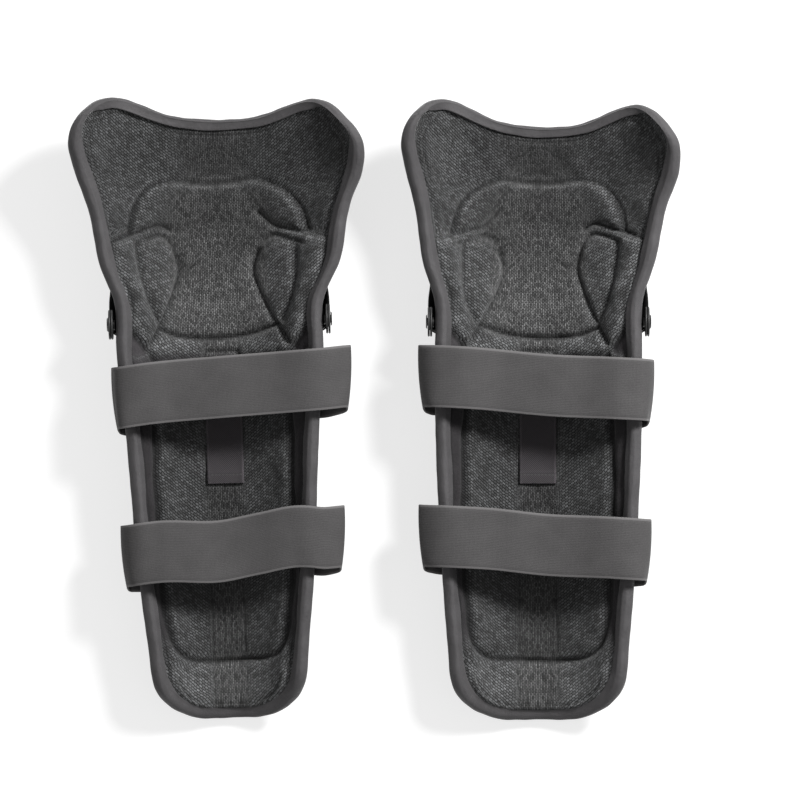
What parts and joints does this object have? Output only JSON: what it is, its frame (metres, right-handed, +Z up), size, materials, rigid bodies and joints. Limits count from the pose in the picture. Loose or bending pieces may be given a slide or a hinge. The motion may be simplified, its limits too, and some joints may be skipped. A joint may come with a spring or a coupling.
{
  "type": "knee and shin guard pair",
  "caption": "Pair of long knee and shin guards with hinged hard shells, padded knit liners bound in tape, and elastic hook-and-loop straps.",
  "frame": {"origin": "middle of the pair's box, on the surface the guards lie on", "axes": "+Z up, away from the shells and out of the liners; +Y from the ankle ends to the thigh ends; +X from the left guard to the right guard"},
  "size_m": [0.4503, 0.4546, 0.0805],
  "materials": {
    "shell": "fine texture, satin",
    "foam": "matte",
    "knit": "spacer-mesh knit, light grey threads over a dark base",
    "binding": "smooth stretch tape with a soft sheen",
    "gusset": "smooth stretch fabric",
    "webbing": "flat woven webbing",
    "elastic": "fine ribbed woven elastic",
    "hook_loop": "hook and loop",
    "rivet": "satin"
  },
  "bodies": {
    "left_shin": {"left_shin_shell": "shell", "left_pivot_rivets": "rivet", "left_shin_foam": "foam", "left_shin_knit": "knit", "left_shin_binding": "binding", "left_waist_gusset": "gusset", "left_middle_tab": "webbing", "left_strap_rivets": "rivet", "left_upper_strap_anchor": "elastic", "left_upper_loop_patch": "hook_loop", "left_lower_strap_anchor": "elastic", "left_lower_loop_patch": "hook_loop"},
    "left_knee": {"left_knee_cup": "shell", "left_thigh_plate": "shell", "left_thigh_rivets": "rivet", "left_knee_foam": "foam", "left_knee_knit": "knit", "left_knee_binding": "binding"},
    "left_upper_strap_body": {"left_upper_strap": "elastic"},
    "left_upper_tail_body": {"left_upper_strap_tail": "elastic", "left_upper_hook_patch": "hook_loop"},
    "left_lower_strap_body": {"left_lower_strap": "elastic"},
    "left_lower_tail_body": {"left_lower_strap_tail": "elastic", "left_lower_hook_patch": "hook_loop"},
    "right_shin": {"right_shin_shell": "shell", "right_pivot_rivets": "rivet", "right_shin_foam": "foam", "right_shin_knit": "knit", "right_shin_binding": "binding", "right_waist_gusset": "gusset", "right_middle_tab": "webbing", "right_strap_rivets": "rivet", "right_upper_strap_anchor": "elastic", "right_upper_loop_patch": "hook_loop", "right_lower_strap_anchor": "elastic", "right_lower_loop_patch": "hook_loop"},
    "right_knee": {"right_knee_cup": "shell", "right_thigh_plate": "shell", "right_thigh_rivets": "rivet", "right_knee_foam": "foam", "right_knee_knit": "knit", "right_knee_binding": "binding"},
    "right_upper_strap_body": {"right_upper_strap": "elastic"},
    "right_upper_tail_body": {"right_upper_strap_tail": "elastic", "right_upper_hook_patch": "hook_loop"},
    "right_lower_strap_body": {"right_lower_strap": "elastic"},
    "right_lower_tail_body": {"right_lower_strap_tail": "elastic", "right_lower_hook_patch": "hook_loop"}
  },
  "joints": [
    {"name": "left_knee_flex", "type": "hinge", "parent": "left_shin", "child": "left_knee", "pos_m": [-0.11381, 0.06497, 0.045], "axis": [0.9996, 0.0279, 0], "range_deg": [0, 35], "deforming": ["left_waist_gusset"]},
    {"name": "left_upper_strap_open", "type": "hinge", "parent": "left_shin", "child": "left_upper_strap_body", "pos_m": [-0.1955, 0.00831, 0.04597], "axis": [0.0279, -0.9996, 0], "range_deg": [0, 30]},
    {"name": "left_upper_tail_peel", "type": "hinge", "parent": "left_upper_strap_body", "child": "left_upper_tail_body", "pos_m": [-0.01762, 0.02472, 0.04597], "axis": [0.0279, -0.9996, 0], "range_deg": [0, 135]},
    {"name": "left_lower_strap_open", "type": "hinge", "parent": "left_shin", "child": "left_lower_strap_body", "pos_m": [-0.18418, -0.10889, 0.04198], "axis": [0.0279, -0.9996, 0], "range_deg": [0, 30]},
    {"name": "left_lower_tail_peel", "type": "hinge", "parent": "left_lower_strap_body", "child": "left_lower_tail_body", "pos_m": [-0.02235, -0.09398, 0.04198], "axis": [0.0279, -0.9996, 0], "range_deg": [0, 135]},
    {"name": "right_knee_flex", "type": "hinge", "parent": "right_shin", "child": "right_knee", "pos_m": [0.1225, 0.065, 0.045], "axis": [1, 0, 0], "range_deg": [0, 35], "deforming": ["right_waist_gusset"]},
    {"name": "right_upper_strap_open", "type": "hinge", "parent": "right_shin", "child": "right_upper_strap_body", "pos_m": [0.20777, 0.01351, 0.04639], "axis": [0, 1, 0], "range_deg": [0, 30]},
    {"name": "right_upper_tail_peel", "type": "hinge", "parent": "right_upper_strap_body", "child": "right_upper_tail_body", "pos_m": [0.03143, 0.02482, 0.04639], "axis": [0, 1, 0], "range_deg": [0, 135]},
    {"name": "right_lower_strap_open", "type": "hinge", "parent": "right_shin", "child": "right_lower_strap_body", "pos_m": [0.20388, -0.10424, 0.04207], "axis": [0, 1, 0], "range_deg": [0, 30]},
    {"name": "right_lower_tail_peel", "type": "hinge", "parent": "right_lower_strap_body", "child": "right_lower_tail_body", "pos_m": [0.03532, -0.09344, 0.04207], "axis": [0, 1, 0], "range_deg": [0, 135]},
    {"name": "lift_right_guard", "type": "slide", "parent": "left_shin", "child": "right_shin", "axis": [0, 0, 1], "range_m": [0, 0.2]}
  ],
  "couplings": [
    {"joint": "left_upper_tail_peel", "follows": "left_upper_strap_open", "ratio": 4.5},
    {"joint": "left_lower_tail_peel", "follows": "left_lower_strap_open", "ratio": 4.5},
    {"joint": "right_upper_tail_peel", "follows": "right_upper_strap_open", "ratio": 4.5},
    {"joint": "right_lower_tail_peel", "follows": "right_lower_strap_open", "ratio": 4.5}
  ]
}
